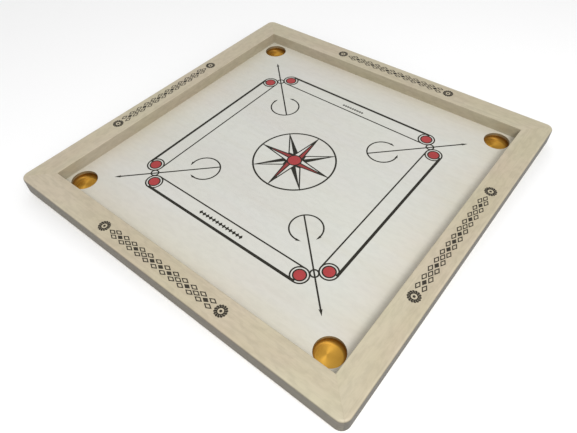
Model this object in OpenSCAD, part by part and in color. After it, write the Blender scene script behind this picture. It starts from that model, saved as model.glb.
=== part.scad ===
// Carrom board: a square playing panel let into four mitred rails, with a cup under each corner pocket.
// Origin: centre of the board, on the table. +X points to the right rail, +Y to the back rail, +Z up.

/* [Frame] */
// Outside length of each side of the square frame
board_size = 660; // [600:10:760]
// Height of the rails above the table
frame_h = 38; // [34:1:50]
// Width of each rail, seen from above
rail_w = 44.5; // [40:0.5:60]
// Radius of the outer corners, seen from above
corner_r = 14; // [11:0.5:24]
// Rounding of the rail's outer edge at the bottom
under_round = 10; // [2:0.5:10.5]
// Rounding of the rail's outer edge at the top
top_round = 4; // [0.5:0.5:5]
// Rounding of the rail's inner edge at the top
inner_round = 1; // [0.5:0.5:3]

/* [Playing panel] */
// Height of the playing surface above the table
surface_z = 16.5; // [16.5:0.5:18]
// Thickness of the plywood panel
panel_t = 5; // [4:0.5:5]
// How far the panel reaches under each rail
lip = 12; // [10:0.5:14]
// Gap between the panel's edge and the rail, which lets the wood move
panel_gap = 0.3; // [0.1:0.1:0.5]

/* [Pockets] */
// Diameter of each pocket hole
pocket_d = 44.5; // [42:0.5:48]
// Distance from a pocket's centre to the rail's inner faces
pocket_inset = 27; // [25.5:0.5:32]
// Depth from the playing surface to a cup's floor
cup_depth = 13.5; // [12:0.5:14]
// Thickness of the cup's sheet metal
cup_t = 0.8; // [0.5:0.1:1]
// Radius between a cup's wall and its floor
cup_fillet = 6; // [2:0.5:6]
// Width of the flange that is screwed to the panel
flange_w = 6; // [5.5:0.5:6.5]

/* [Supports under the panel] */
// Width of each batten
batten_w = 34; // [24:1:44]
// Thickness of each batten
batten_h = 9.5; // [8:0.5:11]
// How far each batten's end is let into a rail
batten_stub = 6; // [3:0.5:10]
// Width of the strips that hold the panel's edges
strip_w = 8; // [6:0.5:9]
// Thickness of the strips that hold the panel's edges
strip_h = 8; // [6:0.5:10]

/* [Corner joints] */
// Thickness of the loose tongue in each mitre
tongue_t = 4; // [3:0.5:6]
// Width of the tongue, across the mitre
tongue_w = 20; // [14:1:24]
// Length of the tongue, along the mitre
tongue_l = 34; // [24:1:40]
// Height of the tongue's middle above the table
tongue_z = 27; // [24:0.5:30]

/* [Fasteners] */
// Diameter of the batten screws' shanks
screw_d = 3.5; // [3:0.5:4]
// Length of the screws that tie each batten's ends to the rails
end_screw_l = 25; // [20:1:28]
// Length of the screws that hold the panel down on the battens
panel_screw_l = 12; // [10:1:13]
// Diameter of the pins in the edge strips
pin_d = 1.6; // [1.2:0.2:2]
// Length of the pins in the edge strips
pin_l = 25; // [20:1:30]
// Diameter of the cup screws' shanks
cup_screw_d = 2.5; // [2:0.5:3]
// Length of the cup screws' shanks
cup_screw_l = 4.5; // [4:0.5:5]

/* [Hidden] */
$fn = 96;
half = board_size / 2;
inner = half - rail_w;
rebate = inner + lip;
panel_half = rebate - panel_gap;
panel_z = surface_z - panel_t;
pocket_c = inner - pocket_inset;
quarters = [0, 90, 180, 270];
cup_gap = 0.3;
cup_r = pocket_d / 2 + cup_gap;
cup_floor_z = surface_z - cup_depth;
batten_z = panel_z - batten_h;
strip_z = panel_z - strip_h;
post_c = half - corner_r;
cut = 1;
clear = 0.1;
head_d = 2 * screw_d;
head_h = screw_d / 2;
recess_w = 1;
recess_l = 0.6 * head_d;
recess_depth = 1.2;
pin_head_d = 2 * pin_d;
pin_head_h = 0.6;
cup_head_d = 5;
cup_head_h = 1.4;
cup_head_flat_d = 0.7 * cup_head_d;
cup_recess_l = 0.5 * cup_head_d;
cup_screw_count = 3;
cup_screw_turn = 135;
cup_screw_c = cup_r + cup_t + flange_w / 2;
end_screw_pitch = batten_w / 2;
end_screw_c = inner + lip / 2;
panel_screw_pitch = inner / 3;
pins_a_strip = 4;
pin_c = rebate - strip_w / 2;
pin_inset = 20;
pin_start = batten_w / 2 + pin_inset;
pin_pitch = (pocket_c - pin_start) / (pins_a_strip - 1);
tongue_shift = 1;
tongue_c = (inner + half) / 2 - tongue_shift;

rail_colour = [0.80, 0.76, 0.66];
panel_colour = [0.87, 0.85, 0.80];
gold = [0.83, 0.62, 0.22];
softwood = [0.78, 0.68, 0.52];
zinc = [0.72, 0.74, 0.76];

// ---------- places where the fasteners go ----------

// Places the children at both ends of both battens, over the rails' lips
module at_end_screws() {
    for (turn = quarters, side = [-1, 1])
        rotate(turn) translate([side * end_screw_pitch / 2, -end_screw_c, batten_z]) children();
}

// Places the children along both battens, clear of each other at the crossing
module at_panel_screws() {
    translate([0, 0, batten_z]) children();
    for (turn = quarters, step = [1, 2])
        rotate(turn) translate([step * panel_screw_pitch, 0, batten_z]) children();
}

// Places the children along the edge strips of all four sides
module at_pins() {
    for (turn = quarters, side = [-1, 1], step = [0 : pins_a_strip - 1])
        rotate(turn) translate([side * (pin_start + step * pin_pitch), -pin_c, strip_z]) children();
}

// Places the children around the cup in the front right corner
module at_cup_screws() {
    translate([pocket_c, -pocket_c, panel_z - cup_t])
        for (step = [0 : cup_screw_count - 1])
            rotate(cup_screw_turn + step * 360 / cup_screw_count) translate([cup_screw_c, 0, 0]) children();
}

// ---------- holes ----------

// Blind hole that opens downwards at z = 0, a little larger than the shank in it
module shank_hole(diameter, length) {
    translate([0, 0, -cut]) cylinder(d = diameter + 2 * clear, h = length + cut + clear);
}

module countersink() {
    translate([0, 0, -cut]) cylinder(d = head_d + 2 * clear, h = cut);
    cylinder(d1 = head_d + 2 * clear, d2 = screw_d + 2 * clear, h = head_h);
}

module end_screw_hole() {
    shank_hole(screw_d, end_screw_l);
}

module panel_screw_hole() {
    shank_hole(screw_d, panel_screw_l);
}

module pin_hole() {
    shank_hole(pin_d, pin_l);
    translate([0, 0, -cut]) cylinder(d = pin_head_d + 2 * clear, h = pin_head_h + cut);
}

module cup_screw_hole() {
    shank_hole(cup_screw_d, cup_screw_l);
}

// ---------- rails ----------

// What a rounding of radius r takes off a corner that lies at the origin
module edge_cut(r) {
    difference() {
        translate([-cut, -cut]) square(r + cut);
        translate([r, r]) circle(r);
    }
}

// Section of a rail: outer face at x = 0, table at y = 0
module rail_section() {
    difference() {
        square([rail_w, frame_h]);
        translate([rail_w - lip, -cut]) square([lip + cut, surface_z + cut]);
        edge_cut(under_round);
        translate([0, frame_h]) mirror([0, 1]) edge_cut(top_round);
        translate([rail_w, frame_h]) rotate(180) edge_cut(inner_round);
    }
}

// Round end of a rail, which turns the outer corner
module corner_post() {
    rotate_extrude() difference() {
        square([corner_r, frame_h]);
        translate([corner_r, 0]) mirror([1, 0]) edge_cut(under_round);
        translate([corner_r, frame_h]) rotate(180) edge_cut(top_round);
    }
}

// Loose tongue in the mitre of the front right corner
module tongue() {
    translate([tongue_c, -tongue_c, tongue_z]) rotate(-45)
        cube([tongue_l, tongue_w, tongue_t], center = true);
}

module rail(turn) {
    rotate(turn) difference() {
        intersection() {
            union() {
                translate([-post_c, -half, 0]) rotate([90, 0, 90])
                    linear_extrude(2 * post_c) rail_section();
                for (side = [-1, 1]) translate([side * post_c, -post_c, 0]) corner_post();
            }
            linear_extrude(frame_h)
                polygon([[-half, -half], [half, -half], [inner, -inner], [-inner, -inner]]);
        }
        for (corner = [0, -90]) rotate(corner) tongue();
        translate([-batten_w / 2, -rebate - batten_stub, -cut])
            cube([batten_w, batten_stub + cut, panel_z + cut]);
        at_end_screws() end_screw_hole();
        at_pins() pin_hole();
    }
}

module front_rail() { color(rail_colour) rail(0); }
module right_rail() { color(rail_colour) rail(90); }
module back_rail() { color(rail_colour) rail(180); }
module left_rail() { color(rail_colour) rail(270); }

module front_right_tongue() { color(softwood) tongue(); }
module back_right_tongue() { color(softwood) rotate(90) tongue(); }
module back_left_tongue() { color(softwood) rotate(180) tongue(); }
module front_left_tongue() { color(softwood) rotate(270) tongue(); }

// ---------- panel and its supports ----------

module playing_panel() {
    color(panel_colour) difference() {
        translate([-panel_half, -panel_half, panel_z]) cube([2 * panel_half, 2 * panel_half, panel_t]);
        for (turn = quarters) rotate(turn) {
            translate([pocket_c, -pocket_c, panel_z - cut]) cylinder(d = pocket_d, h = panel_t + 2 * cut);
            at_cup_screws() cup_screw_hole();
        }
        at_end_screws() end_screw_hole();
        at_panel_screws() panel_screw_hole();
        at_pins() pin_hole();
    }
}

// A batten from side to side, before it is halved at the crossing
module batten() {
    difference() {
        translate([-rebate - batten_stub, -batten_w / 2, batten_z])
            cube([2 * (rebate + batten_stub), batten_w, batten_h]);
        at_end_screws() end_screw_hole();
        at_end_screws() countersink();
        at_panel_screws() panel_screw_hole();
        at_panel_screws() countersink();
    }
}

// The part of the crossing that is cut away between two heights
module halving(low) {
    translate([-batten_w / 2, -batten_w / 2 - cut, low])
        cube([batten_w, batten_w + 2 * cut, batten_h / 2 + cut]);
}

module side_to_side_batten() {
    color(softwood) difference() {
        batten();
        halving(batten_z + batten_h / 2);
    }
}

module front_to_back_batten() {
    color(softwood) rotate(90) difference() {
        batten();
        halving(batten_z - cut);
    }
}

// A strip along the front edge of the panel, from one x to another
module strip(from, to) {
    difference() {
        translate([from, -rebate, strip_z]) cube([to - from, strip_w, strip_h]);
        at_pins() pin_hole();
    }
}

// The strip that runs right into its corner
module long_strip(turn) {
    color(softwood) rotate(turn) strip(-rebate, -batten_w / 2);
}

// The strip that stops short against its neighbour
module short_strip(turn) {
    color(softwood) rotate(turn) strip(batten_w / 2, rebate - strip_w);
}

module front_strip_left() { long_strip(0); }
module front_strip_right() { short_strip(0); }
module right_strip_front() { long_strip(90); }
module right_strip_back() { short_strip(90); }
module back_strip_right() { long_strip(180); }
module back_strip_left() { short_strip(180); }
module left_strip_back() { long_strip(270); }
module left_strip_front() { short_strip(270); }

// ---------- pocket cups ----------

// Half section of a round-bottomed cup of radius r, with its floor at height low
module cup_form(r, low, fillet) {
    translate([0, low]) square([r - fillet, panel_z - low + cut]);
    translate([0, low + fillet]) square([r, panel_z - low - fillet + cut]);
    translate([r - fillet, low + fillet]) circle(fillet);
}

module pocket_cup(turn) {
    color(gold) rotate(turn) difference() {
        translate([pocket_c, -pocket_c, 0]) rotate_extrude() intersection() {
            difference() {
                union() {
                    cup_form(cup_r + cup_t, cup_floor_z - cup_t, cup_fillet + cup_t);
                    translate([0, panel_z - cup_t]) square([cup_r + cup_t + flange_w, cup_t]);
                }
                cup_form(cup_r, cup_floor_z, cup_fillet);
            }
            square([cup_r + cup_t + flange_w, panel_z]);
        }
        at_cup_screws() cup_screw_hole();
    }
}

module front_right_cup() { pocket_cup(0); }
module back_right_cup() { pocket_cup(90); }
module back_left_cup() { pocket_cup(180); }
module front_left_cup() { pocket_cup(270); }

// ---------- fasteners ----------

// Cross that the screwdriver fits, seen from below
module recess(length) {
    for (turn = [0, 90]) rotate(turn)
        translate([-length / 2, -recess_w / 2, -cut]) cube([length, recess_w, recess_depth + cut]);
}

// Countersunk wood screw, pointing up, its head flush with z = 0
module wood_screw(length) {
    point = screw_d;
    difference() {
        union() {
            cylinder(d1 = head_d, d2 = screw_d, h = head_h);
            cylinder(d = screw_d, h = length - point);
            translate([0, 0, length - point]) cylinder(d1 = screw_d, d2 = 0, h = point);
        }
        recess(recess_l);
    }
}

module pin() {
    cylinder(d = pin_head_d, h = pin_head_h);
    cylinder(d = pin_d, h = pin_l - pin_d);
    translate([0, 0, pin_l - pin_d]) cylinder(d1 = pin_d, d2 = 0, h = pin_d);
}

// Round-headed screw: its head lies under z = 0 and its shank points up
module cup_screw() {
    difference() {
        union() {
            translate([0, 0, -cup_head_h])
                cylinder(d1 = cup_head_flat_d, d2 = cup_head_d, h = cup_head_h / 2);
            translate([0, 0, -cup_head_h / 2]) cylinder(d = cup_head_d, h = cup_head_h / 2);
            cylinder(d = cup_screw_d, h = cup_screw_l);
        }
        translate([0, 0, -cup_head_h]) recess(cup_recess_l);
    }
}

module batten_end_screws() { color(zinc) at_end_screws() wood_screw(end_screw_l); }
module panel_screws() { color(zinc) at_panel_screws() wood_screw(panel_screw_l); }
module strip_pins() { color(zinc) at_pins() pin(); }
module cup_screws() {
    color(zinc) for (turn = quarters) rotate(turn) at_cup_screws() cup_screw();
}

front_rail();
right_rail();
back_rail();
left_rail();
front_right_tongue();
back_right_tongue();
back_left_tongue();
front_left_tongue();
playing_panel();
side_to_side_batten();
front_to_back_batten();
front_strip_left();
front_strip_right();
right_strip_front();
right_strip_back();
back_strip_right();
back_strip_left();
left_strip_back();
left_strip_front();
front_right_cup();
back_right_cup();
back_left_cup();
front_left_cup();
batten_end_screws();
panel_screws();
strip_pins();
cup_screws();
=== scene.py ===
# %% [markdown]
# # A carrom board, built on a measured frame
#
# A carrom board is a shallow square tray. Four raised wooden rails are mitred at the corners,
# a thin plywood panel with a printed design lies between them, and a round pocket in each
# corner opens into a metal cup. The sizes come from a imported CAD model, so every piece here
# is drawn around that model and never changes its size. Work down the cells in order:
# first the view and the light, then the wood, then the metal, and the ink last.

# %% Load the frame and keep its box
import math

import bmesh
import bpy
from mathutils import Matrix, Vector


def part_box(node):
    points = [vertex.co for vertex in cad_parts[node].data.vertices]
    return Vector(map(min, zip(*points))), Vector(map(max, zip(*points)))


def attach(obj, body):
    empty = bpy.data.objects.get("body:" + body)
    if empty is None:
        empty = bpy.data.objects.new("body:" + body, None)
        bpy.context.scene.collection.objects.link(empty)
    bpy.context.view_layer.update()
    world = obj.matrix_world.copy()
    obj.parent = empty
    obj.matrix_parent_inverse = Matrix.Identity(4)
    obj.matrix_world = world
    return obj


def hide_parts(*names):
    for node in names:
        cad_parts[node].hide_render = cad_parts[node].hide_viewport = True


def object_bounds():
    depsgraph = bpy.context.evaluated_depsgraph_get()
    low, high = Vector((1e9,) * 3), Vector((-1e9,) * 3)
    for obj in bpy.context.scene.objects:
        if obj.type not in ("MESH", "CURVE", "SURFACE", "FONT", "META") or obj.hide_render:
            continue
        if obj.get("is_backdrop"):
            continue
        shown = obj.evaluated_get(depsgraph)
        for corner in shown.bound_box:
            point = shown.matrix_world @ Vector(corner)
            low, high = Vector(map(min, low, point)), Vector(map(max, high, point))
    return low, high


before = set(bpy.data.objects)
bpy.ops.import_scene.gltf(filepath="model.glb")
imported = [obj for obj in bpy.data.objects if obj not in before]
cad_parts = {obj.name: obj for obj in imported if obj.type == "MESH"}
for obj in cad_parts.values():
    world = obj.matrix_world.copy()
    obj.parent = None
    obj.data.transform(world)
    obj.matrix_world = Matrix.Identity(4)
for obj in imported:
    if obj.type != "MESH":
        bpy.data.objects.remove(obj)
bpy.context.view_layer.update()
MM = 0.001

rail_low, rail_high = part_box("front_rail")
panel_low, panel_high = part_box("playing_panel")
half = -rail_low.y
inner = -rail_high.y
frame_h = rail_high.z
surface = panel_high.z
panel_half = panel_high.x
print(f"frame {2 * half:.3f} m square, {frame_h:.3f} m high; playing area {2 * inner:.3f} m")

# %% [markdown]
# ## The camera
#
# The view is that of somebody who stands over the corner between the front and the right
# rail. The lens is a wide one, about 31 mm, so the far rails look clearly smaller than the
# near ones. A camera could be aimed with a Track To constraint, but three plain angles say
# exactly the same thing and leave nothing to solve.

# %% Camera
camera_data = bpy.data.cameras.new("camera")
camera_data.lens = 30.72
camera = bpy.data.objects.new("camera", camera_data)
camera.location = (0.4065, -0.5040, surface + 0.5866)
camera.rotation_euler = [math.radians(a) for a in (41.27, 1.46, 38.63)]
bpy.context.collection.objects.link(camera)
bpy.context.scene.camera = camera
print(f"camera {camera.location.z:.2f} m above the table, lens {camera_data.lens} mm")

# %% [markdown]
# ## Helpers for modelling by operators
#
# The operators in `bpy.ops` work on whatever is selected, just as the buttons do. So the
# helpers below do only three things: clear the selection, pick faces or edges by where they
# are, and give a finished piece its name. The real shaping stays visible in each cell.


# %% Select, name and settle
def leave():
    """Back to object mode with nothing selected."""
    if bpy.context.object and bpy.context.object.mode != "OBJECT":
        bpy.ops.object.mode_set(mode="OBJECT")
    bpy.ops.object.select_all(action="DESELECT")


def take(piece):
    """Select one piece alone, and make it the active one."""
    leave()
    piece.select_set(True)
    bpy.context.view_layer.objects.active = piece


def edit(piece, kind="FACE"):
    """Open a piece in edit mode with all of it selected."""
    take(piece)
    bpy.ops.object.mode_set(mode="EDIT")
    bpy.ops.mesh.select_mode(type=kind)
    bpy.ops.mesh.select_all(action="SELECT")


def pick(piece, test, kind="EDGE"):
    """Select only the edges or faces whose middle and direction pass the test."""
    edit(piece, kind)
    bpy.ops.mesh.select_all(action="DESELECT")
    mesh = bmesh.from_edit_mesh(piece.data)
    if kind == "EDGE":
        for edge in mesh.edges:
            a, b = edge.verts[0].co, edge.verts[1].co
            edge.select_set(test((a + b) / 2, (b - a).normalized()))
    else:
        for face in mesh.faces:
            face.select_set(test(face.calc_center_median(), face.normal))
    mesh.select_flush_mode()
    bmesh.update_edit_mesh(piece.data)


def named(name):
    """The object that the last operator made, with its place moved into its mesh."""
    piece = bpy.context.object
    bpy.ops.object.transform_apply(location=True, rotation=True, scale=True)
    piece.name = piece.data.name = name
    return piece


def outward(piece):
    """Turn every face outwards."""
    edit(piece)
    bpy.ops.mesh.normals_make_consistent(inside=False)
    leave()
    return piece


def block(name, low, high):
    """A box from its lowest to its highest corner."""
    leave()
    low, high = Vector(low), Vector(high)
    bpy.ops.mesh.primitive_cube_add(size=1, location=(low + high) / 2, scale=high - low)
    return named(name)


def carve(piece, cutter):
    """Cut one piece out of another, and throw the cutter away."""
    take(piece)
    cut = piece.modifiers.new("cut", "BOOLEAN")
    cut.operation = "DIFFERENCE"
    cut.object = cutter
    bpy.ops.object.modifier_apply(modifier=cut.name)
    bpy.data.objects.remove(cutter)


def join(pieces, name):
    """Make one object of several."""
    leave()
    for piece in pieces:
        piece.select_set(True)
    bpy.context.view_layer.objects.active = pieces[0]
    if len(pieces) > 1:
        bpy.ops.object.join()
    return named(name)


def copy(piece, name, turn=0.0, shift=(0, 0, 0), flip=False):
    """A copy with its own mesh, mirrored if asked, turned about the board's centre, then shifted."""
    take(piece)
    bpy.ops.object.duplicate()
    place = Matrix.Translation(Vector(shift)) @ Matrix.Rotation(math.radians(turn), 4, "Z")
    if flip:
        place = place @ Matrix.Scale(-1, 4, Vector((1, 0, 0)))
    bpy.context.object.matrix_world = place
    piece = named(name)
    return outward(piece) if flip else piece


def finish(piece, material, stands_for=(), angle=30):
    """Smooth the rounded edges, keep the flats flat, and tell the frame what the piece is."""
    take(piece)
    bpy.ops.object.shade_smooth_by_angle(angle=math.radians(angle))
    flats = piece.modifiers.new("flats", "WEIGHTED_NORMAL")
    flats.keep_sharp = True
    bpy.ops.object.modifier_apply(modifier=flats.name)
    piece.data.materials.clear()
    piece.data.materials.append(material)
    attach(piece, "root")
    if stands_for:
        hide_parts(*stands_for)
    leave()


print("helpers ready")

# %% [markdown]
# ## The table and the light
#
# The board lies on a plain pale table. Most of the light comes evenly from all round, as in a
# white room. One square soft light, high over the near right corner, does what a window does:
# the right rail throws a narrow soft shadow on the panel, and each metal cup shows a streak.
# A sun lamp would make the shadow hard, and a bright surround alone would make none.

# %% Table, light and surroundings
TABLE_SIZE, TABLE_GREY = 12, 0.93
WINDOW_AT, WINDOW_SIDE, WINDOW_WATTS = Vector((1.12, -0.78, 1.48)), 0.7, 23
ROOM_LIGHT = 0.79

leave()
bpy.ops.mesh.primitive_plane_add(size=TABLE_SIZE, location=(0, 0, 0))
table = named("table_top")
paint = bpy.data.materials.new("table_paint")
paint.use_nodes = True
paint.node_tree.nodes["Principled BSDF"].inputs["Base Color"].default_value = (TABLE_GREY,) * 3 + (1,)
paint.node_tree.nodes["Principled BSDF"].inputs["Roughness"].default_value = 0.9
table.data.materials.append(paint)
table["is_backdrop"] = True

window_light = bpy.data.lights.new("side_window", "AREA")
window_light.shape = "SQUARE"
window_light.size = WINDOW_SIDE
window_light.energy = WINDOW_WATTS
window = bpy.data.objects.new("side_window", window_light)
window.location = WINDOW_AT
window.rotation_euler = (-WINDOW_AT).to_track_quat("-Z", "Y").to_euler()
bpy.context.collection.objects.link(window)

world = bpy.data.worlds.new("studio")
world.use_nodes = True
world.node_tree.nodes["Background"].inputs["Color"].default_value = (1.0, 1.0, 1.0, 1)
world.node_tree.nodes["Background"].inputs["Strength"].default_value = ROOM_LIGHT
bpy.context.scene.world = world
bpy.context.scene.view_settings.view_transform = "Standard"
print("table, one light and a pale surround")

# %% [markdown]
# ## Wood, from noise stretched along the grain
#
# Wood is lines that run one way. Noise that is squeezed hard across the grain and left long
# along it gives fibres; a slower, softer one gives the broad light and dark figure; and a
# third, hardly stretched, gives the change of tone from one end of a plank to the other. Two
# more add what raw wood has besides its grain: a faint drift between pinkish and greenish,
# and soft blotches a few millimetres wide. All of them read Object coordinates, so a plank is
# cut from its own place in the log.
#
# The upright sides of a plank are painted a shade darker than its face: painted shade, as an
# upright face gets less light than a top. The outer sides of the frame are painted darker
# still, a painted shade for sides that face away from the light. A mask finds them: it
# measures how far a point is from the board's centre, in a square way.


# %% Helpers for materials
def wire(tree, *pairs):
    """Link each source socket to its target socket."""
    for source, target in pairs:
        tree.links.new(source, target)


def node(tree, kind, **values):
    """Add a node, set its properties, and give its sockets their values."""
    made = tree.nodes.new("ShaderNode" + kind)
    for key, value in values.items():
        if hasattr(made, key):
            setattr(made, key, value)
        else:
            made.inputs[key.replace("_", " ")].default_value = value
    return made


def ramp(tree, source, stops):
    """A colour ramp: stops are pairs of a position and a colour or a grey."""
    made = tree.nodes.new("ShaderNodeValToRGB")
    points = made.color_ramp.elements
    while len(points) < len(stops):
        points.new(0.5)
    for point, (place, colour) in zip(points, stops):
        point.position = place
        point.color = (colour,) * 3 + (1,) if isinstance(colour, float) else (*colour, 1)
    tree.links.new(source, made.inputs["Fac"])
    return made.outputs["Color"]


def tint(tree, under, over, how, amount):
    """Lay one colour over another, by a fixed amount or by a mask."""
    mix = node(tree, "Mix", data_type="RGBA", blend_type=how)
    sockets = [s for s in mix.inputs if s.type == "RGBA"]
    wire(tree, (under, sockets[0]), (over, sockets[1]))
    if isinstance(amount, float):
        mix.inputs["Factor"].default_value = amount
    else:
        wire(tree, (amount, mix.inputs["Factor"]))
    return [s for s in mix.outputs if s.type == "RGBA"][0]


def stretched_noise(tree, grain, along, across, place, detail=4.0, twist=0.0):
    """Noise with its own number of waves a metre along and across the grain."""
    coords = tree.nodes.new("ShaderNodeTexCoord").outputs["Object"]
    waves = (across, along, across) if grain == "Y" else (along, across, across)
    mapping = node(tree, "Mapping", Location=place, Scale=waves)
    noise = node(tree, "TexNoise", Scale=1.0, Detail=detail, Distortion=twist)
    wire(tree, (coords, mapping.inputs["Vector"]), (mapping.outputs["Vector"], noise.inputs["Vector"]))
    return noise.outputs["Fac"]


def parts_of(tree, vector):
    """The X, Y and Z outputs of a vector."""
    split = tree.nodes.new("ShaderNodeSeparateXYZ")
    wire(tree, (vector, split.inputs[0]))
    return split.outputs


def size_of(tree, number):
    """A number without its sign."""
    made = node(tree, "Math", operation="ABSOLUTE")
    wire(tree, (number, made.inputs[0]))
    return made.outputs[0]


def facing_up(tree):
    """How far the surface faces up: 1 on a top, 0 on a side, -1 underneath."""
    return parts_of(tree, tree.nodes.new("ShaderNodeNewGeometry").outputs["Normal"])["Z"]


def height_share(tree, low, high):
    """Height as a share of the way from a low to a high level."""
    share = node(tree, "Math", operation="MULTIPLY_ADD")
    share.inputs[1].default_value = 1 / (high - low)
    share.inputs[2].default_value = -low / (high - low)
    wire(tree, (parts_of(tree, tree.nodes.new("ShaderNodeTexCoord").outputs["Object"])["Z"], share.inputs[0]))
    return share.outputs[0]


def reach(tree, start, stop):
    """A mask that grows between two distances from the board's centre, measured square."""
    place = parts_of(tree, tree.nodes.new("ShaderNodeTexCoord").outputs["Object"])
    larger = node(tree, "Math", operation="MAXIMUM")
    wire(tree, (size_of(tree, place["X"]), larger.inputs[0]), (size_of(tree, place["Y"]), larger.inputs[1]))
    return ramp(tree, larger.outputs[0], [(start, 0.0), (stop, 1.0)])


# %% A wood material
# from this distance outwards the upright sides carry a painted shade
OUTER_FROM, OUTER_TO = 310 * MM, 312 * MM


def wood(name, light, dark, grain="X", log=0.0, figure=0.5, fibre=0.35, painted_side_shade=0.85, gloss=0.45,
         bumps=0.12, outer=1.0, cast=0.5):
    """Wood whose grain runs along X or Y, cut from its own place in the log."""
    material = bpy.data.materials.new(name)
    material.use_nodes = True
    tree = material.node_tree
    shader = tree.nodes["Principled BSDF"]
    place = (log, 3.7 * log, 1.9 * log)
    slow = stretched_noise(tree, grain, 2.2, 26.0, place, detail=3.0, twist=1.2)
    fine = stretched_noise(tree, grain, 9.0, 520.0, place, detail=5.0, twist=0.2)
    broad = stretched_noise(tree, grain, 3.0, 7.0, place, detail=2.0)
    colour = ramp(tree, slow, [(0.30, dark), (0.62, light)])
    plain = ramp(tree, broad, [(0.35, tuple(0.94 * c for c in light)), (0.65, light)])
    colour = tint(tree, plain, colour, "MIX", figure)
    colour = tint(tree, colour, ramp(tree, fine, [(0.32, 0.72), (0.55, 1.0)]), "MULTIPLY", fibre)
    cloud = stretched_noise(tree, grain, 9.0, 14.0, tuple(2 * c for c in place), detail=2.0)
    drift = ramp(tree, cloud, [(0.35, (1.0, 0.970, 0.96)), (0.65, (0.975, 0.99, 0.93))])
    colour = tint(tree, colour, drift, "MULTIPLY", cast)
    mottle = stretched_noise(tree, grain, 60.0, 150.0, place, detail=3.0, twist=0.4)
    colour = tint(tree, colour, ramp(tree, mottle, [(0.38, 0.89), (0.58, 1.02)]), "MULTIPLY", 0.7 * cast)
    # painted shade: upright faces are darkened, as if they got less light than the tops
    level = size_of(tree, facing_up(tree))
    colour = tint(tree, colour, ramp(tree, level, [(0.1, painted_side_shade), (0.8, 1.0)]), "MULTIPLY", 1.0)
    # painted shade: past the mask's distance, the upright outer sides of the frame are darkened further
    painted_outer_shade = ramp(tree, level, [(0.2, (outer, 0.98 * outer, 0.97 * outer)), (0.75, (1.0, 1.0, 1.0))])
    colour = tint(tree, colour, painted_outer_shade, "MULTIPLY", reach(tree, OUTER_FROM, OUTER_TO))
    wire(tree, (colour, shader.inputs["Base Color"]))
    rough = ramp(tree, fine, [(0.3, gloss + 0.12), (0.7, gloss)])
    wire(tree, (rough, shader.inputs["Roughness"]))
    bump = node(tree, "Bump", Strength=bumps, Distance=0.0004)
    wire(tree, (fine, bump.inputs["Height"]), (bump.outputs["Normal"], shader.inputs["Normal"]))
    return material


RAIL_LIGHT, RAIL_DARK = (0.488, 0.434, 0.327), (0.424, 0.360, 0.252)
SUPPORT_LIGHT, SUPPORT_DARK = (0.56, 0.43, 0.27), (0.42, 0.29, 0.16)

# %% [markdown]
# ## The rails
#
# Four planks with one section: rounded a little at the top, more underneath where fingers
# lift the board, and rebated below the inner edge to take the panel. They could be drawn one
# by one, but the corners of a mitred frame only match if they are cut from one shape. So the
# frame is first made whole, as a rounded block with a tray cut into it, and one rail is then
# sawn out with two bisect cuts. The other three are turned copies, as a joiner would make.
# A hair-thin bevel along the mitres catches the light, as the joint between two planks does.

# %% Make the whole frame
CORNER_R = 14 * MM
UNDER_R = 10 * MM
TOP_R = 4.0 * MM
INNER_R = 1.0 * MM
rebate = -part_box("front_strip_left")[0].y
batten_low, batten_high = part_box("side_to_side_batten")

whole = block("frame_blank", (-half, -half, 0), (half, half, frame_h))
pick(whole, lambda mid, way: abs(way.z) > 0.9)
bpy.ops.mesh.bevel(offset=CORNER_R, segments=16, affect="EDGES")
pick(whole, lambda mid, way: mid.z > frame_h - MM and abs(way.z) < 0.1)
bpy.ops.mesh.bevel(offset=TOP_R, segments=5, affect="EDGES")
pick(whole, lambda mid, way: mid.z < MM and abs(way.z) < 0.1)
bpy.ops.mesh.bevel(offset=UNDER_R, segments=10, affect="EDGES")
leave()
carve(whole, block("tray", (-inner, -inner, surface / 2), (inner, inner, frame_h + MM)))
carve(whole, block("rebate", (-rebate, -rebate, -MM), (rebate, rebate, surface)))
for turn in (0, 90):
    housing = block("housing", batten_low - Vector((0, 0, 4 * MM)), batten_high)
    carve(whole, copy(housing, "housing_cut", turn))
    bpy.data.objects.remove(housing)
NEAR = 0.1 * MM
pick(whole, lambda mid, way: mid.z > frame_h - NEAR and max(abs(mid.x), abs(mid.y)) < inner + NEAR)
bpy.ops.mesh.bevel(offset=INNER_R, segments=4, affect="EDGES")
leave()
print(f"whole frame: {len(whole.data.polygons)} faces")

# %% Saw out one rail
MITRE_R = 0.12 * MM
first = copy(whole, "front_rail_wood")
for side in (1, -1):
    edit(first)
    bpy.ops.mesh.bisect(plane_co=(0, 0, 0), plane_no=(side, 1, 0), use_fill=True, clear_outer=True)
pick(first, lambda mid, way: abs(abs(mid.x) - abs(mid.y)) < 0.01 * MM and mid.z > frame_h - TOP_R)
bpy.ops.mesh.bevel(offset=MITRE_R, segments=1, affect="EDGES")
leave()
bpy.data.objects.remove(whole)
print(f"one rail, {len(first.data.polygons)} faces")

# %% Copy it to the other sides
SIDES = ("front", "right", "back", "left")
# how dark the painted shade on each rail's outer side is: front, right, back, left
OUTER_SHADE_PAINTED = (0.30, 0.20, 0.30, 0.30)
rails = [first] + [copy(first, f"{side}_rail_wood", 90 * k) for k, side in enumerate(SIDES) if k]
for k, (side, rail) in enumerate(zip(SIDES, rails)):
    grain = "Y" if k % 2 else "X"
    timber = wood(f"{side}_rail_timber", RAIL_LIGHT, RAIL_DARK, grain, log=1.3 + 2.1 * k,
                  fibre=0.20, painted_side_shade=0.84, outer=OUTER_SHADE_PAINTED[k], cast=1.0)
    finish(rail, timber, [f"{side}_rail"])
print("four rails of", ", ".join(rail.data.materials[0].name for rail in rails))
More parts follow.
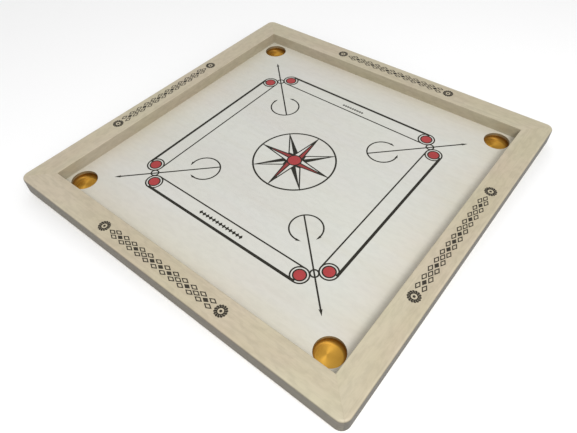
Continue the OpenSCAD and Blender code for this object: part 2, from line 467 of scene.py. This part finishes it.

# %% [markdown]
# ## The playing panel
#
# A sheet of plywood with a pale, smooth face. It is drawn as one block with four round holes
# cut through it. The rims of the holes are eased by less than half a millimetre, because a
# dead sharp rim catches no light and looks like paper. Its face is the wood above, painted a
# little yellower and brighter towards the rails: painted warm light, as bounces off the rails.
# Dark layers and thin lines of glue show only inside the pockets,
# and underneath lies a plain browner veneer.

# %% Cut the panel
cup_low, cup_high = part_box("front_right_cup")
pocket = Vector(((cup_low.x + cup_high.x) / 2, (cup_low.y + cup_high.y) / 2, 0))
POCKET_R = 22.25 * MM
RIM_R = 0.4 * MM
DRILL_L = 50 * MM

panel = block("playing_panel_plywood", panel_low, panel_high)
for turn in (0, 90, 180, 270):
    leave()
    bpy.ops.mesh.primitive_cylinder_add(vertices=96, radius=POCKET_R, depth=DRILL_L,
                                        location=(pocket.x, pocket.y, surface))
    drill = named("drill")
    carve(panel, copy(drill, "drill_turned", turn))
    bpy.data.objects.remove(drill)
pick(panel, lambda mid, way: mid.z > surface - NEAR and max(abs(mid.x), abs(mid.y)) < inner)
bpy.ops.mesh.bevel(offset=RIM_R, segments=2, affect="EDGES")
leave()
print(f"panel: {len(panel.data.polygons)} faces, pockets {2 * POCKET_R / MM:.1f} mm")


# %% Plywood
def plywood(name, face, figure, core, back):
    """A pale rotary-cut face over layers that show where the sheet is cut."""
    material = wood(name, face, figure, "X", log=7.7, figure=0.45, fibre=0.06, painted_side_shade=1.0, gloss=0.36,
                    bumps=0.03, cast=0.4)
    tree = material.node_tree
    shader = tree.nodes["Principled BSDF"]
    top = shader.inputs["Base Color"].links[0].from_socket
    # painted warm bounce light: the panel grows yellower and brighter towards the rails
    painted_bounce_light = ramp(tree, reach(tree, 200 * MM, 287 * MM),
                  [(0.0, (1.0, 1.0, 1.0)), (0.5, (1.01, 0.985, 0.955)), (1.0, (1.06, 1.0, 0.91))])
    top = tint(tree, top, painted_bounce_light, "MULTIPLY", 1.0)
    glue = tuple(0.35 * c for c in core)
    veneer = tuple(1.25 * c for c in core)
    edge = ramp(tree, height_share(tree, panel_low.z, panel_high.z), [
        (0.0, back), (0.01, core), (0.22, core), (0.24, glue), (0.26, veneer), (0.48, veneer),
        (0.50, glue), (0.52, core), (0.74, core), (0.76, glue), (0.80, veneer)])
    is_top = ramp(tree, facing_up(tree), [(0.2, 0.0), (0.7, 1.0)])
    wire(tree, (tint(tree, edge, top, "MIX", is_top), shader.inputs["Base Color"]))
    return material


PANEL_FACE, PANEL_FIGURE = (0.568, 0.568, 0.533), (0.545, 0.528, 0.470)
PANEL_CORE, PANEL_BACK = (0.18, 0.14, 0.085), (0.46, 0.37, 0.25)
panel_finish = plywood("panel_plywood_finish", PANEL_FACE, PANEL_FIGURE, PANEL_CORE, PANEL_BACK)
finish(panel, panel_finish, ["playing_panel"])
print("finish:", panel_finish.name)

# %% [markdown]
# ## The wood underneath
#
# Battens, edge strips and the tongues hidden in the mitres are plain sawn wood with flat
# faces. Their CAD shapes are already right, so they stay, and only get a rougher, browner
# wood with its grain along each stick.

# %% Battens, strips and tongues
sticks = {g: wood(f"sawn_softwood_{g.lower()}", SUPPORT_LIGHT, SUPPORT_DARK, g, log=4.4, figure=0.8,
                  fibre=0.5, gloss=0.62, bumps=0.3) for g in "XY"}
for name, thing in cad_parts.items():
    if name.endswith(("batten", "tongue")) or "_strip_" in name:
        low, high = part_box(name)
        thing.data.materials.clear()
        thing.data.materials.append(sticks["X" if high.x - low.x >= high.y - low.y else "Y"])
print("sawn wood on", sum("strip_" in n or n.endswith(("batten", "tongue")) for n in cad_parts), "nodes")

# %% [markdown]
# ## The pocket cups
#
# A cup is spun from thin gold-coloured sheet: a flat flange, an upright wall, a rounded
# corner and a flat floor. Half of its outline is drawn as a chain of points, each one
# extruded from the last, and the spin operator turns the chain into a bowl, which is just
# what a metal spinner does. Solidify then gives the sheet its thickness.


# %% Draw an outline and spin it
def arc(centre, radius, start, stop, steps):
    """Points along an arc, as distance from the axis and height."""
    for k in range(steps + 1):
        angle = math.radians(start + (stop - start) * k / steps)
        yield centre[0] + radius * math.cos(angle), centre[1] + radius * math.sin(angle)


def lathe(name, outline, centre, steps=96):
    """Spin an outline of (distance from the axis, height) about an upright axis."""
    leave()
    bpy.ops.mesh.primitive_plane_add(size=MM, location=(0, 0, 0))
    piece = named(name)
    edit(piece, "VERT")
    bpy.ops.mesh.merge(type="CENTER")
    bpy.ops.transform.translate(value=(outline[0][0], 0, outline[0][1]))
    for (x0, z0), (x1, z1) in zip(outline, outline[1:]):
        bpy.ops.mesh.extrude_region_move(TRANSFORM_OT_translate={"value": (x1 - x0, 0, z1 - z0)})
    bpy.ops.mesh.select_all(action="SELECT")
    bpy.ops.mesh.spin(steps=steps, angle=2 * math.pi, center=(0, 0, 0), axis=(0, 0, 1))
    bpy.ops.mesh.select_all(action="SELECT")
    bpy.ops.mesh.remove_doubles(threshold=0.002 * MM)
    bpy.ops.transform.translate(value=centre)
    leave()
    return outward(piece)


# %% Spin the cups
CUP_T = 0.8 * MM
cup_r = POCKET_R + 0.3 * MM
flange_r = (cup_high.x - cup_low.x) / 2
floor_z = cup_low.z + CUP_T
FILLET = 6 * MM
BEND = 0.8 * MM
FLOOR_RING = 10.5 * MM
outline = [(flange_r, cup_high.z - CUP_T / 2)]
outline += list(arc((cup_r + BEND, cup_high.z - CUP_T / 2 - BEND), BEND, 90, 180, 6))
outline += list(arc((cup_r - FILLET + CUP_T / 2, floor_z + FILLET - CUP_T / 2), FILLET, 0, -90, 16))
outline += [(FLOOR_RING, floor_z - CUP_T / 2), (0.0, floor_z - CUP_T / 2)]
first_cup = lathe("front_right_cup_sheet", outline, pocket)
take(first_cup)
sheet = first_cup.modifiers.new("sheet", "SOLIDIFY")
sheet.thickness = CUP_T
sheet.offset = 0
bpy.ops.object.modifier_apply(modifier=sheet.name)
outward(first_cup)
print(f"cup: {len(first_cup.data.polygons)} faces, {(surface - floor_z) / MM:.1f} mm deep")


# %% [markdown]
# ### Gold metal with the marks of spinning
#
# A spun cup keeps fine rings around its centre, and such rings draw a reflection out into a
# streak that runs across them. One material does both: a ring pattern in the gloss and the
# bumps, and an anisotropic shader, which stretches its reflections along a tangent. The
# tangent has to lie in the surface and point away from the centre, and two cross products
# give that. Up the bend and the wall the metal is painted darker and browner: painted shade,
# as falls in a deep cup, which also dims the highlight on the bend.

# %% Spun gold metal
SPIN_SHIFT = 4.5 * MM
GOLD_BROWN, GOLD_BRIGHT = (0.69, 0.38, 0.055), (0.77, 0.44, 0.07)
# painted shade up the cup: the bend and the wall are darkened, which also dims the highlight on the bend
FLOOR_TONE, BEND_PAINTED_SHADE = (1.0, 1.0, 1.0), (0.74, 0.71, 0.68)
WALL_PAINTED_SHADE, BRIM_PAINTED_SHADE = (0.50, 0.45, 0.41), (0.30, 0.28, 0.33)


def spun_gold(name, centre):
    """Satin metal with fine rings around the cup's own centre."""
    material = bpy.data.materials.new(name)
    material.use_nodes = True
    tree = material.node_tree
    shader = tree.nodes["Principled BSDF"]
    shader.inputs["Metallic"].default_value = 0.85
    shader.inputs["Anisotropic"].default_value = 0.65
    shader.inputs["Anisotropic Rotation"].default_value = 0.11
    coords = tree.nodes.new("ShaderNodeTexCoord").outputs["Object"]
    mapping = node(tree, "Mapping", Location=(-centre.x, -centre.y, 0))
    rings = node(tree, "TexWave", wave_type="RINGS", rings_direction="Z", Scale=900.0, Distortion=1.5,
                 Detail=2.0)
    stain = node(tree, "TexNoise", Scale=60.0, Detail=3.0)
    wire(tree, (coords, mapping.inputs["Vector"]), (mapping.outputs["Vector"], rings.inputs["Vector"]),
         (mapping.outputs["Vector"], stain.inputs["Vector"]))
    colour = ramp(tree, stain.outputs["Fac"], [(0.3, GOLD_BROWN), (0.7, GOLD_BRIGHT)])
    # painted shade, growing from the floor up to the brim
    painted_cup_shade = ramp(tree, height_share(tree, floor_z, cup_high.z),
                [(0.0, FLOOR_TONE), (0.02, BEND_PAINTED_SHADE), (0.07, WALL_PAINTED_SHADE), (0.75, BRIM_PAINTED_SHADE)])
    colour = tint(tree, colour, painted_cup_shade, "MULTIPLY", 1.0)
    rough = ramp(tree, rings.outputs["Fac"], [(0.0, 0.50), (1.0, 0.58)])
    bump = node(tree, "Bump", Strength=0.15, Distance=0.00005)
    wire(tree, (colour, shader.inputs["Base Color"]), (rough, shader.inputs["Roughness"]),
         (rings.outputs["Fac"], bump.inputs["Height"]), (bump.outputs["Normal"], shader.inputs["Normal"]))
    spokes = node(tree, "Mapping", Location=(SPIN_SHIFT - centre.x, -centre.y, 0))
    around = node(tree, "VectorMath", operation="CROSS_PRODUCT")
    around.inputs[0].default_value = (0, 0, 1)
    across = node(tree, "VectorMath", operation="CROSS_PRODUCT")
    normal = tree.nodes.new("ShaderNodeNewGeometry").outputs["Normal"]
    wire(tree, (coords, spokes.inputs["Vector"]), (spokes.outputs["Vector"], around.inputs[1]),
         (around.outputs[0], across.inputs[0]), (normal, across.inputs[1]),
         (across.outputs[0], shader.inputs["Tangent"]))
    return material


# %% Copy the cup to all four pockets
CORNERS = ("front_right", "back_right", "back_left", "front_left")
cups = [first_cup] + [copy(first_cup, f"{c}_cup_sheet", 90 * k) for k, c in enumerate(CORNERS) if k]
for k, (corner, cup) in enumerate(zip(CORNERS, cups)):
    centre = Matrix.Rotation(math.radians(90 * k), 3, "Z") @ pocket
    finish(cup, spun_gold(f"{corner}_cup_gold", centre), [f"{corner}_cup"])
print("four cups")

# %% [markdown]
# ## The metal fasteners
#
# The screws and pins are bright zinc. They are seen only from below, and their CAD shapes,
# with their cross slots, are right. So they stay too, and need only the metal: a cool grey
# with a faint yellow passivation that comes and goes, and fine scratches in the gloss.


# %% Zinc
def zinc(name):
    """Bright plated metal whose tint and gloss come and go."""
    material = bpy.data.materials.new(name)
    material.use_nodes = True
    tree = material.node_tree
    shader = tree.nodes["Principled BSDF"]
    shader.inputs["Metallic"].default_value = 1.0
    coords = tree.nodes.new("ShaderNodeTexCoord").outputs["Object"]
    stain = node(tree, "TexNoise", Scale=450.0, Detail=3.0)
    wire(tree, (coords, stain.inputs["Vector"]))
    colour = ramp(tree, stain.outputs["Fac"], [(0.35, (0.56, 0.57, 0.58)), (0.65, (0.66, 0.63, 0.52))])
    rough = ramp(tree, stain.outputs["Fac"], [(0.3, 0.28), (0.7, 0.42)])
    wire(tree, (colour, shader.inputs["Base Color"]), (rough, shader.inputs["Roughness"]))
    return material


FASTENERS = ("batten_end_screws", "panel_screws", "strip_pins", "cup_screws")
bright_zinc = zinc("bright_zinc")
for name in FASTENERS:
    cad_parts[name].data.materials.clear()
    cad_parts[name].data.materials.append(bright_zinc)
print("zinc on", ", ".join(FASTENERS))

# %% [markdown]
# ## The ink
#
# A carrom board's lines are screen-printed: a thin, hard-edged film of ink on top of the
# lacquer. They could be painted into the panel's material, but an edge that is a real edge
# stays sharp from any distance. So every line is a film, half sunk into the wood and
# standing out by less than a tenth of a millimetre. Three helpers draw all of it: a film
# with straight sides, a disc or ring, and a curved band. Films that overlap stand out by
# different amounts, because two faces in one plane would flicker.

# %% Draw films of ink
BLACK_RISE, RED_RISE, SUNK = 0.07 * MM, 0.05 * MM, 0.05 * MM


def raise_film(name, low, high, line=0.0):
    """Give the face being edited its thickness, after thinning it to an outline if asked."""
    if line:
        bpy.ops.mesh.inset(thickness=line, use_even_offset=True)
        bpy.ops.mesh.delete(type="FACE")
        bpy.ops.mesh.select_all(action="SELECT")
    bpy.ops.mesh.extrude_region_move(TRANSFORM_OT_translate={"value": (0, 0, high - low)})
    leave()
    piece = bpy.context.view_layer.objects.active
    piece.name = piece.data.name = name
    return outward(piece)


def film(name, points, base=surface, rise=BLACK_RISE, line=0.0):
    """A flat film with straight sides, or only its outline."""
    leave()
    bpy.ops.mesh.primitive_plane_add(size=MM, location=(0, 0, 0))
    edit(bpy.context.object, "VERT")
    bpy.ops.mesh.merge(type="CENTER")
    bpy.ops.transform.translate(value=(points[0][0], points[0][1], base - SUNK))
    for (x0, y0), (x1, y1) in zip(points, points[1:]):
        bpy.ops.mesh.extrude_region_move(TRANSFORM_OT_translate={"value": (x1 - x0, y1 - y0, 0)})
    bpy.ops.mesh.select_all(action="SELECT")
    bpy.ops.mesh.edge_face_add()
    return raise_film(name, base - SUNK, base + rise, line)


def disc(name, centre, radius, base=surface, rise=BLACK_RISE, line=0.0, steps=96):
    """A round film, or a ring whose outer radius is given."""
    leave()
    bpy.ops.mesh.primitive_circle_add(vertices=steps, radius=radius, fill_type="NGON",
                                      location=(*centre, base - SUNK))
    edit(named(name))
    return raise_film(name, base - SUNK, base + rise, line)


def band(name, centre, radius, width, start, stop, base=surface, rise=BLACK_RISE, steps=48):
    """A curved band of a given middle radius, from one direction to another in degrees."""
    leave()
    bpy.ops.mesh.primitive_plane_add(size=MM, location=(0, 0, 0))
    edit(bpy.context.object, "VERT")
    bpy.ops.mesh.merge(type="CENTER")
    way = Vector((math.cos(math.radians(start)), math.sin(math.radians(start)), 0))
    middle = Vector((*centre, base - SUNK))
    bpy.ops.transform.translate(value=middle + way * (radius - width / 2))
    bpy.ops.mesh.extrude_region_move(TRANSFORM_OT_translate={"value": way * width})
    bpy.ops.mesh.select_all(action="SELECT")
    bpy.ops.mesh.spin(steps=steps, angle=math.radians(start - stop), center=middle, axis=(0, 0, 1))
    bpy.ops.mesh.select_all(action="SELECT")
    return raise_film(name, base - SUNK, base + rise)


def turned(x, y, angle):
    """A point turned about the board's centre, in degrees."""
    c, s = math.cos(math.radians(angle)), math.sin(math.radians(angle))
    return x * c - y * s, x * s + y * c


def bar(start, stop, width):
    """The four corners of a straight line of some width."""
    way = (Vector(stop) - Vector(start)).normalized() * width / 2
    aside = Vector((-way.y, way.x))
    return [tuple(Vector(p) + s * aside) for p, s in ((start, 1), (start, -1), (stop, -1), (stop, 1))]


def four(piece, name):
    """The piece and its copies, turned to all four sides, as one object."""
    return join([piece] + [copy(piece, "part", turn) for turn in (90, 180, 270)], name)


print("ink helpers ready")

# %% [markdown]
# ### Printing inks
#
# There are four inks: black and red for the board, a deeper red for the star's points, and a
# browner black for the stencilled rails. All are slightly uneven where the screen laid down
# more or less of it. Their gloss is kept low on the Specular socket, because a glossy line
# would turn grey wherever it mirrors the pale room.


# %% Ink materials
def ink(name, thin, full, gloss=0.42, grain=900.0):
    """Printing ink between its thin and its full colour."""
    material = bpy.data.materials.new(name)
    material.use_nodes = True
    tree = material.node_tree
    shader = tree.nodes["Principled BSDF"]
    shader.inputs["Specular IOR Level"].default_value = 0.22
    coords = tree.nodes.new("ShaderNodeTexCoord").outputs["Object"]
    cover = node(tree, "TexNoise", Scale=grain, Detail=2.0)
    cloud = node(tree, "TexNoise", Scale=25.0, Detail=2.0)
    wire(tree, (coords, cover.inputs["Vector"]), (coords, cloud.inputs["Vector"]))
    colour = tint(tree, ramp(tree, cover.outputs["Fac"], [(0.35, full), (0.75, thin)]),
                  ramp(tree, cloud.outputs["Fac"], [(0.35, 0.85), (0.65, 1.0)]), "MULTIPLY", 1.0)
    rough = ramp(tree, cover.outputs["Fac"], [(0.3, gloss), (0.7, gloss + 0.15)])
    wire(tree, (colour, shader.inputs["Base Color"]), (rough, shader.inputs["Roughness"]))
    return material


black = ink("black_printing_ink", (0.027, 0.024, 0.016), (0.014, 0.013, 0.009), gloss=0.52)
red = ink("red_printing_ink", (0.41, 0.062, 0.060), (0.35, 0.034, 0.038))
deep_red = ink("deep_red_printing_ink", (0.30, 0.050, 0.046), (0.25, 0.030, 0.030))
stencil = ink("black_stencil_ink", (0.060, 0.050, 0.034), (0.020, 0.018, 0.013), gloss=0.55, grain=1400.0)
print("four inks")

# %% [markdown]
# ### The base lines and their circles
#
# Between a thick and a thin line on each side the striker is placed. The lines end on round
# bases with a red heart, and a small circle sits between the bases of two sides. All of it
# is drawn on the front and copied to the other three sides. The whole print sits about a
# millimetre off centre and a tenth of a degree askew, as when a screen is laid by eye.

# %% Print the base lines
PRINT_SHIFT, PRINT_TURN = (-1.2 * MM, -0.8 * MM, 0), -0.1
BASE_X, BASE_Y = 157.2 * MM, 187.6 * MM
BASE_R, BASE_LINE = 15.7 * MM, 2.5 * MM
THICK_OUT, THICK_IN = 203.4 * MM, 198.5 * MM
THIN_OUT, THIN_IN = 174.6 * MM, 172.0 * MM
HEART_R, HEART_LINE = 11.1 * MM, 2.2 * MM
SMALL_C, SMALL_R, SMALL_LINE = 172.5 * MM, 7.8 * MM, 2.6 * MM


def rule(out, inward):
    """The corners of a line along the front side, between two distances from the centre."""
    return [(-BASE_X, -out), (BASE_X, -out), (BASE_X, -inward), (-BASE_X, -inward)]


lines = join([film("thick", rule(THICK_OUT, THICK_IN)), film("thin", rule(THIN_OUT, THIN_IN))], "lines")
rings = join([disc(part, (side * BASE_X, -BASE_Y), radius, rise=1.2 * BLACK_RISE, line=line)
              for side in (-1, 1)
              for part, radius, line in (("ring", BASE_R, BASE_LINE), ("rim", HEART_R, HEART_LINE))], "rings")
hearts = join([disc("heart", (side * BASE_X, -BASE_Y), HEART_R - HEART_LINE / 2, rise=RED_RISE)
               for side in (-1, 1)], "hearts")
small = disc("small", (SMALL_C, -SMALL_C), SMALL_R, rise=0.9 * BLACK_RISE, line=SMALL_LINE)
prints = {"base_lines_print": (four(lines, "all_lines"), black),
          "base_rings_print": (four(rings, "all_rings"), black),
          "base_hearts_print": (four(hearts, "all_hearts"), red),
          "corner_circles_print": (four(small, "all_small"), black)}
print("base lines, rings, hearts and corner circles")

# %% [markdown]
# ### The corner arrows
#
# A thin arrow runs from near the centre towards each pocket. It starts on an arc that opens
# towards the corner and ends in a small arrowhead at each tip.

# %% Print the arrows
ARC_C, ARC_R, ARC_LINE = 111.3 * MM, 27.2 * MM, 2.6 * MM
ARC_GAP = 33
ARROW_START, ARROW_TIP = 92.5 * MM, 221.5 * MM
HEAD_L, HEAD_W, NOTCH = 11.5 * MM, 5.8 * MM, 0.22
ARC_HEAD_L, ARC_HEAD_W, ARC_HEAD_PAST = 9.5 * MM, 5.0 * MM, 0.4
ARROW_SHIFT = (0.3 * MM, -0.6 * MM, 0)


def arrowhead(tip, way, length, width):
    """A slim head with a notched back."""
    aside = Vector((-way.y, way.x)) * width / 2
    back = tip - way * length
    return [tuple(tip), tuple(back - aside), tuple(back + way * length * NOTCH), tuple(back + aside)]


outwards = Vector((1, -1)).normalized()
pieces = [band("arc", (ARC_C, -ARC_C), ARC_R, ARC_LINE, -45 + ARC_GAP, 315 - ARC_GAP, rise=1.1 * BLACK_RISE)]
shaft_end = ARROW_TIP - HEAD_L / 2
pieces.append(film("shaft", bar((ARROW_START, -ARROW_START), (shaft_end, -shaft_end), ARC_LINE),
                   rise=1.4 * BLACK_RISE))
pieces.append(film("head", arrowhead(Vector((ARROW_TIP, -ARROW_TIP)), outwards, HEAD_L, HEAD_W)))
for side in (-1, 1):
    angle = math.radians(-45 + side * ARC_GAP)
    radial = Vector((math.cos(angle), math.sin(angle)))
    along = Vector((radial.y, -radial.x)) * side
    tip = Vector((ARC_C, -ARC_C)) + radial * ARC_R + along * ARC_HEAD_L * ARC_HEAD_PAST
    pieces.append(film("arc_head", arrowhead(tip, along, ARC_HEAD_L, ARC_HEAD_W)))
arrows = four(join(pieces, "arrow"), "all_arrows")
prints["corner_arrows_print"] = (copy(arrows, "moved_arrows", shift=ARROW_SHIFT), black)
bpy.data.objects.remove(arrows)
print("four arrows with their arcs")

# %% [markdown]
# ### The star in the middle
#
# Eight long points inside a ring. Each is a kite whose two halves are coloured differently,
# which makes it look folded. The four points along the board's axes lie over the diagonal
# ones, so of a diagonal point only the part past the crossing is drawn. The star has its
# own small shift, as if printed with a screen of its own.

# %% Print the star
RING_R, RING_LINE = 74.7 * MM, 3.1 * MM
STAR_R, WAIST_R, STAR_LINE = 76.2 * MM, 14.2 * MM, 2.3 * MM
TIP_FROM, FOLD_TO = 51.0 * MM, 0.9
STAR_SHIFT = (0.6 * MM, -1.1 * MM, 0)
DISC_R = 12.6 * MM

tip = Vector((STAR_R, 0))
waist = Vector(turned(WAIST_R, 0, -45))
slope = -waist.y / (STAR_R - waist.x)
cross_x = slope * STAR_R / (math.tan(math.radians(22.5)) + slope)
crossing = Vector((cross_x, -cross_x * math.tan(math.radians(22.5))))
shoulder = Vector((TIP_FROM, -slope * (STAR_R - TIP_FROM)))
mirrored = Vector((1, -1))

fold_x, fold_y = STAR_R * FOLD_TO, STAR_LINE / 2
blacks = [film("outline", [tip, waist, (0, 0), waist * mirrored], line=STAR_LINE),
          film("fold", [(fold_x, -fold_y), (0, -fold_y), (0, fold_y), (fold_x, fold_y)],
               rise=1.1 * BLACK_RISE),
          film("point", [tip, shoulder * mirrored, shoulder], rise=1.2 * BLACK_RISE)]
reds = [film("half", [(TIP_FROM, 0), shoulder, waist, (0, 0)], rise=RED_RISE)]
diagonal_tip = Vector(turned(STAR_R, 0, -45))
crossing_below = Vector(turned(*(crossing * mirrored), -90))
blacks.append(film("diagonal_outline", [diagonal_tip, crossing, waist, crossing_below],
                   rise=0.9 * BLACK_RISE, line=STAR_LINE))
blacks.append(film("diagonal_half", [diagonal_tip, waist, crossing_below], rise=0.8 * BLACK_RISE))
star_ring = disc("star_ring", (0, 0), RING_R, rise=1.3 * BLACK_RISE, line=RING_LINE, steps=160)
disc_rim = disc("disc_rim", (0, 0), DISC_R + STAR_LINE / 2, rise=1.6 * BLACK_RISE, line=STAR_LINE)
star = join([four(join(blacks, "blacks"), "black_points"), star_ring, disc_rim], "star")
prints["star_black_print"] = (star, black)
prints["star_disc_print"] = (disc("middle", (0, 0), DISC_R, rise=1.3 * BLACK_RISE), red)
prints["star_red_print"] = (four(join(reds, "reds"), "red_points"), deep_red)
for name in ("star_black_print", "star_red_print", "star_disc_print"):
    piece, paint = prints[name]
    prints[name] = (copy(piece, "moved_star", shift=STAR_SHIFT), paint)
    bpy.data.objects.remove(piece)
print("star with", len(prints["star_black_print"][0].data.polygons), "faces of black ink")

# %% [markdown]
# ### Borders on the rails and on the base lines
#
# Each rail carries a stencilled border: a rosette, a lattice of small lozenges, and a second
# rosette. One lozenge of each kind and one rosette are drawn, and copied along the row. The
# finished row is then copied to each rail, a little askew on two of them, as a stencil is
# when it is held by hand. Between the base lines of the front and the back there is a plain
# row of small lozenges and dots.

# %% Draw one border
STEP, FIRST, LAST = 17.8 * MM, 19.6 * MM, 243.3 * MM
OPEN_L, OPEN_W, OPEN_LINE = 14.6 * MM, 8.2 * MM, 1.55 * MM
FULL_L, FULL_W = 11.6 * MM, 7.2 * MM
SIDE_Y = 5.0 * MM
FILLED = (0, 1, 0, 1, 0, 1, 1, 1, 0, 1, 0, 1)
PETALS, PETAL_IN, PETAL_OUT, PETAL_W = 14, 5.2 * MM, 10.1 * MM, 3.9 * MM
LEAN = 1.4 * MM
EYE_R, EYE_RING_R, EYE_LINE = 2.1 * MM, 5.7 * MM, 1.2 * MM


def lozenge(name, length, width, base, line=0.0):
    """A lozenge that lies along X, filled or as an outline."""
    points = [(length / 2, 0), (0, width / 2), (-length / 2, 0), (0, -width / 2)]
    return film(name, points, base=base, line=line)


def repeat(piece, places, name):
    """Copies of a piece at several places, as one object, without the first."""
    made = [copy(piece, "part", shift=(x, y, 0)) for x, y in places]
    bpy.data.objects.remove(piece)
    return join(made, name)


span = PETAL_OUT - PETAL_IN
widest = PETAL_OUT - 0.25 * span
petal = film("petal", [(PETAL_OUT, LEAN), (widest, LEAN + PETAL_W / 2), (PETAL_IN, PETAL_W / 4),
                       (PETAL_IN, -PETAL_W / 4), (widest, LEAN - PETAL_W / 2)], base=frame_h)
petals = [copy(petal, "part", 360 * k / PETALS) for k in range(PETALS)]
bpy.data.objects.remove(petal)
eye = disc("eye", (0, 0), EYE_R, base=frame_h, steps=16)
eye_ring = disc("eye_ring", (0, 0), EYE_RING_R, base=frame_h, line=EYE_LINE, steps=40)
rosette = join(petals + [eye, eye_ring], "rosette")
row = [FIRST + k * STEP for k in range(len(FILLED))]
filled = [(x, 0) for x, f in zip(row, FILLED) if f]
full = repeat(lozenge("full", FULL_L, FULL_W, frame_h), filled, "full_row")
middles = [(x, 0) for x, f in zip(row, FILLED) if not f]
sides = [(x + STEP / 2, side * SIDE_Y) for x in row for side in (-1, 1)]
opens = repeat(lozenge("open", OPEN_L, OPEN_W, frame_h, OPEN_LINE), middles + sides, "open_row")
border = join([repeat(rosette, [(0, 0), (LAST, 0)], "rosettes"), full, opens], "border")
print(f"border of {len(border.data.polygons)} faces, {LAST / MM:.0f} mm long")

# %% Lay the borders on the rails
PLACES = {"front": (0.42, (-125.4, -310.2)), "right": (-90, (306.3, 108.7)),
          "back": (0.2, (-110.0, 307.1)), "left": (-90, (-309.4, 105.4))}
for side, (turn, (x, y)) in PLACES.items():
    prints[f"{side}_rail_border"] = (copy(border, "border_copy", turn, (x * MM, y * MM, 0)), stencil)
bpy.data.objects.remove(border)
print("a border on each of", ", ".join(PLACES))


# %% Rows of small lozenges between the base lines
GEM_SHARE, DOT_SHARE = 0.86, 0.17


def lozenge_row(name, y, length, height, count):
    """Small lozenges with a dot between each two of them."""
    pitch = length / count
    xs = [(k - (count - 1) / 2) * pitch for k in range(count)]
    gems = repeat(lozenge("gem", GEM_SHARE * pitch, height, surface), [(x, y) for x in xs], "gems")
    between = [(x + pitch / 2, y) for x in xs[:-1]]
    dots = repeat(disc("dot", (0, 0), DOT_SHARE * pitch, steps=12), between, "dots")
    return join([gems, dots], name)


prints["front_lozenge_row"] = (lozenge_row("front_row", -187.8 * MM, 93 * MM, 8.6 * MM, 13), black)
prints["back_lozenge_row"] = (lozenge_row("back_row", 183.8 * MM, 48 * MM, 5.8 * MM, 9), black)
print(len(prints), "prints")

# %% Finish the ink
for name, (piece, paint) in prints.items():
    if not name.endswith("border"):
        piece = copy(piece, "moved", PRINT_TURN, PRINT_SHIFT)
        bpy.data.objects.remove(prints[name][0])
    piece.name = piece.data.name = name
    finish(piece, paint)
print("ink finished")

# %% Measure the visual box and end
low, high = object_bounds()
print("visual box", [round(v, 4) for v in (*low, *high)])
